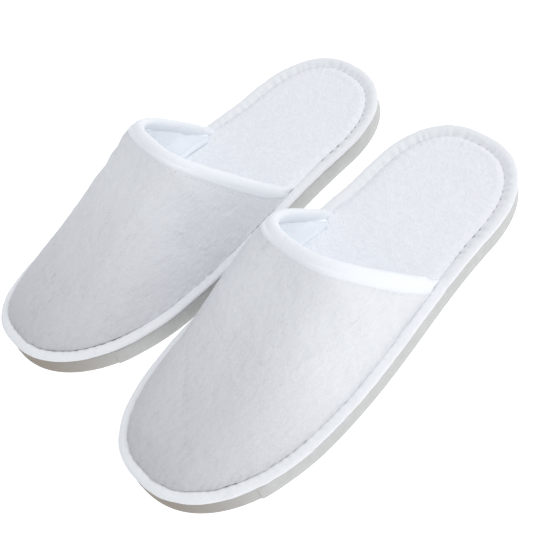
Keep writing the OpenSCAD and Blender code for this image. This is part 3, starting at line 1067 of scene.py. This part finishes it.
# The hem's section: share of its half width towards the toe, and height over its middle line.
# Its toe-side edge thins out level with the vamp; its other edge is a full round fold.
HEM = ((1.0, 1.9), (0.94, 2.75), (0.74, 3.15), (0.4, 3.4), (0.0, 3.5), (-0.35, 3.3), (-0.68, 2.7),
       (-0.9, 1.6), (-1.0, 0.1), (-0.92, -1.4), (-0.65, -2.5), (-0.25, -3.0), (0.2, -3.0),
       (0.6, -2.4), (0.95, -0.5))


def collar_path():
    """The hem's middle line: along the collar, then sinking into the groove at each end."""
    line = collar_line(0, (FLEECE_T + FOAM_T + LINING_T) / 2, across(900))
    line[:, 2] = np.maximum(line[:, 2], WELT_Z + WELT_H + 2.4)
    tail = np.array([[np.interp(y, *EDGE.table(inset)), y, z]
                     for y, inset, z in ((41.6, 8.8, 16.2), (43.4, 9.3, 13.8), (45.4, 9.8, 10.8))])
    path = np.vstack([(tail * [-1, 1, 1])[::-1], line, tail])
    path = even(path, 360)
    return even(smoothed(path[None], 12)[0], 300)


def on_vamp(grid, section, end):
    """Lays the hem's toe-side edge on the vamp, so that it thins out evenly all along."""
    vamp, _ = vamp_grid(0.0, VAMP_COLS, VAMP_ROWS, COLLAR_LAP)
    face = vamp[:, -18:].reshape(-1, 3)
    facing = outward(vamp)[:, -18:].reshape(-1, 3)
    for j, (share, tall) in enumerate(section):
        if share < 0.1:
            continue
        p = grid[:, j]
        near = np.argmin(np.linalg.norm(p[:, None] - face[None], axis=2), axis=1)
        height = np.einsum("ij,ij->i", p - face[near], facing[near])
        wanted = mix(HEM_PROUD, -HEM_SUNK, np.clip((share - 0.25) / 0.75, 0, 1) ** 2.5)
        if tall < 1.2:
            wanted = np.minimum(height, -0.7)
        hold = ease((share - 0.1) / 0.3) * ease((end - 14) / 14)
        grid[:, j] = p + facing[near] * ((wanted - height) * hold)[:, None]
    return grid


def collar_binding(side, seed):
    path = collar_path()
    along = np.gradient(path, axis=0)
    share = np.linspace(0, 1, len(path))
    end = np.minimum(share, 1 - share) * len(path)
    along[:, 2] *= ease((end - 6) / 30)
    along /= np.linalg.norm(along, axis=1)[:, None]
    s = np.clip(path[:, 0] / 50.0, -1, 1)
    vamp, _ = vamp_grid(0.0, 240, 96, COLLAR_LAP)
    normals = outward(vamp)[:, -5]
    near = np.argmin(np.linalg.norm(path[:, None] - vamp[None, :, -1], axis=2), axis=1)
    up = smoothed(normals[near][None], 30)[0]
    up -= np.einsum("ij,ij->i", up, along)[:, None] * along
    up /= np.linalg.norm(up, axis=1)[:, None]
    toeward = np.cross(along, up)
    section = rounded(HEM, 40)
    sides = len(section)
    thin = (0.5 + 0.5 * ease(end / 24))[:, None, None]
    half = mix(HEM_TOP, HEM_SIDE, np.abs(s) ** 2)[:, None, None] * thin
    grid = (path[:, None] + toeward[:, None] * section[None, :, :1] * half
            + up[:, None] * section[None, :, 1:] * thin)
    flat = on_vamp(grid, section, end).reshape(-1, 3)
    out = flat - np.repeat(path, sides, 0)
    out /= np.linalg.norm(out, axis=1)[:, None]
    points = flat + out * nap(flat, COLLAR_NAP, seed)[:, None]
    faces = grid_faces(len(path), sides, wrap_cols=True)
    ends = [points[:sides].mean(0), points[-sides:].mean(0)]
    first = len(points)
    points = np.vstack([points, ends])
    last = (len(path) - 1) * sides
    faces += [[(j + 1) % sides, j, first] for j in range(sides)]
    faces += [[last + j, last + (j + 1) % sides, first + 1] for j in range(sides)]
    piece = make(f"{side}_collar_roll", points, faces, side, COLLAR, (f"{side}_front",),
                 ["collar_binding"])
    return piece


def collar_stitching(side):
    """Short stitches that hold the hem, sunk in the soft line beneath it."""
    line = collar_line(COLLAR_SEAM, 0.0, across(900) * 0.985)
    length = np.linalg.norm(np.diff(line, axis=0), axis=1).sum()
    count = int(length / COLLAR_STITCH)
    holes = even(line, count + 1)
    parts = []
    for a, b in zip(holes[:-1], holes[1:]):
        gap = (b - a) * 0.14
        parts.append(capsule(a + gap, b - gap, 0.22, 0.25, 6, 7))
    points, faces = many(parts)
    return make(f"{side}_collar_stitches", points, faces, side, THREAD, (f"{side}_front",),
                ["collar_stitching"])


# Soft folds seen in plan: centre, direction in degrees, half length, half width and depth.
CREASES = {
    "right": [((36, 18), 60, 20, 5, 0.9), ((-30, -12), 15, 22, 7, 0.6),
              ((20, -40), 40, 35, 12, 0.5), ((-38, -70), 70, 28, 8, 0.5)],
    "left": [((-26, -22), 28, 26, 6, 1.1), ((-33, -38), 40, 28, 7, 0.9),
             ((22, -6), 20, 24, 9, 0.8), ((30, -60), 75, 30, 10, 0.6)],
}
LINING_CREASES = {
    "right": [((-30, 8), 70, 24, 4, 0.8)],
    "left": [((-26, 2), 62, 26, 3.5, 1.2), ((-34, 20), 75, 20, 3.5, 1.0)],
}

for number, side in enumerate(("right", "left")):
    seed = 100 * (number + 1)
    outsole(side)
    edge_tape(side)
    insole_board(side)
    insole_foam(side)
    insole_cover(side, seed)
    welt(side, seed + 10)
    welt_stitching(side)
    upper_foam(side)
    upper_outer(side, seed + 20, CREASES[side])
    upper_lining(side, seed + 30, LINING_CREASES[side])
    collar_binding(side, seed + 40)
    collar_stitching(side)


# ---- Floor, light and camera ------------------------------------------------------------

def floor():
    size = 6.0
    mesh = bpy.data.meshes.new("floor")
    mesh.from_pydata([(-size, -size, 0), (size, -size, 0), (size, size, 0), (-size, size, 0)],
                     [], [(0, 1, 2, 3)])
    piece = bpy.data.objects.new("floor", mesh)
    bpy.context.collection.objects.link(piece)
    material = bpy.data.materials.new("floor_white")
    material.use_nodes = True
    shader = material.node_tree.nodes["Principled BSDF"]
    shader.inputs["Base Color"].default_value = (0.93, 0.93, 0.93, 1)
    shader.inputs["Roughness"].default_value = 0.9
    shader.inputs["Specular IOR Level"].default_value = 0.0
    shader.inputs["Emission Color"].default_value = (1, 1, 1, 1)
    shader.inputs["Emission Strength"].default_value = 0.5
    mesh.materials.append(material)


def area_light(name, place, target, size, power, colour):
    data = bpy.data.lights.new(name, "AREA")
    data.shape = "DISK"
    data.size = size
    data.energy = power
    data.color = colour
    lamp = bpy.data.objects.new(name, data)
    bpy.context.collection.objects.link(lamp)
    lamp.location = place
    aim = np.array(target, float) - np.array(place, float)
    lamp.rotation_euler = Vector(aim).to_track_quat("-Z", "Y").to_euler()


def world(strength, colour):
    w = bpy.data.worlds.new("studio")
    bpy.context.scene.world = w
    w.use_nodes = True
    back = w.node_tree.nodes["Background"]
    back.inputs["Color"].default_value = (*colour, 1)
    back.inputs["Strength"].default_value = strength


CAMERA_AZ = 62.433
CAMERA_EL = 55.092
CAMERA_ROLL = -20.0
CAMERA_DIST = 0.46806
CAMERA_LOOK = (0.013058, -0.005127, 0.0)
CAMERA_LENS = 50.62


def camera():
    az, el = math.radians(CAMERA_AZ), math.radians(CAMERA_EL)
    back = Vector((math.sin(az) * math.cos(el), -math.cos(az) * math.cos(el), math.sin(el)))
    right = (-back).cross(Vector((0, 0, 1))).normalized()
    up = right.cross(-back)
    roll = math.radians(CAMERA_ROLL)
    x = right * math.cos(roll) + up * math.sin(roll)
    y = -right * math.sin(roll) + up * math.cos(roll)
    data = bpy.data.cameras.new("camera")
    data.lens = CAMERA_LENS
    data.sensor_width = 36.0
    data.sensor_fit = "HORIZONTAL"
    data.clip_start = 0.02
    eye = bpy.data.objects.new("camera", data)
    bpy.context.collection.objects.link(eye)
    place = Vector(CAMERA_LOOK) + back * CAMERA_DIST
    eye.matrix_world = Matrix(((x[0], y[0], back[0], place[0]), (x[1], y[1], back[1], place[1]),
                               (x[2], y[2], back[2], place[2]), (0, 0, 0, 1)))
    bpy.context.scene.camera = eye


floor()
world(0.68, (0.945, 0.965, 1.0))
area_light("key", (0.8, 0.8, 1.7), (0, 0, 0), 1.3, 14, (1.0, 0.985, 0.96))
camera()
view = bpy.context.scene.view_settings
view.view_transform = "Standard"
view.look = "None"
view.exposure = 0.0
view.gamma = 1.0
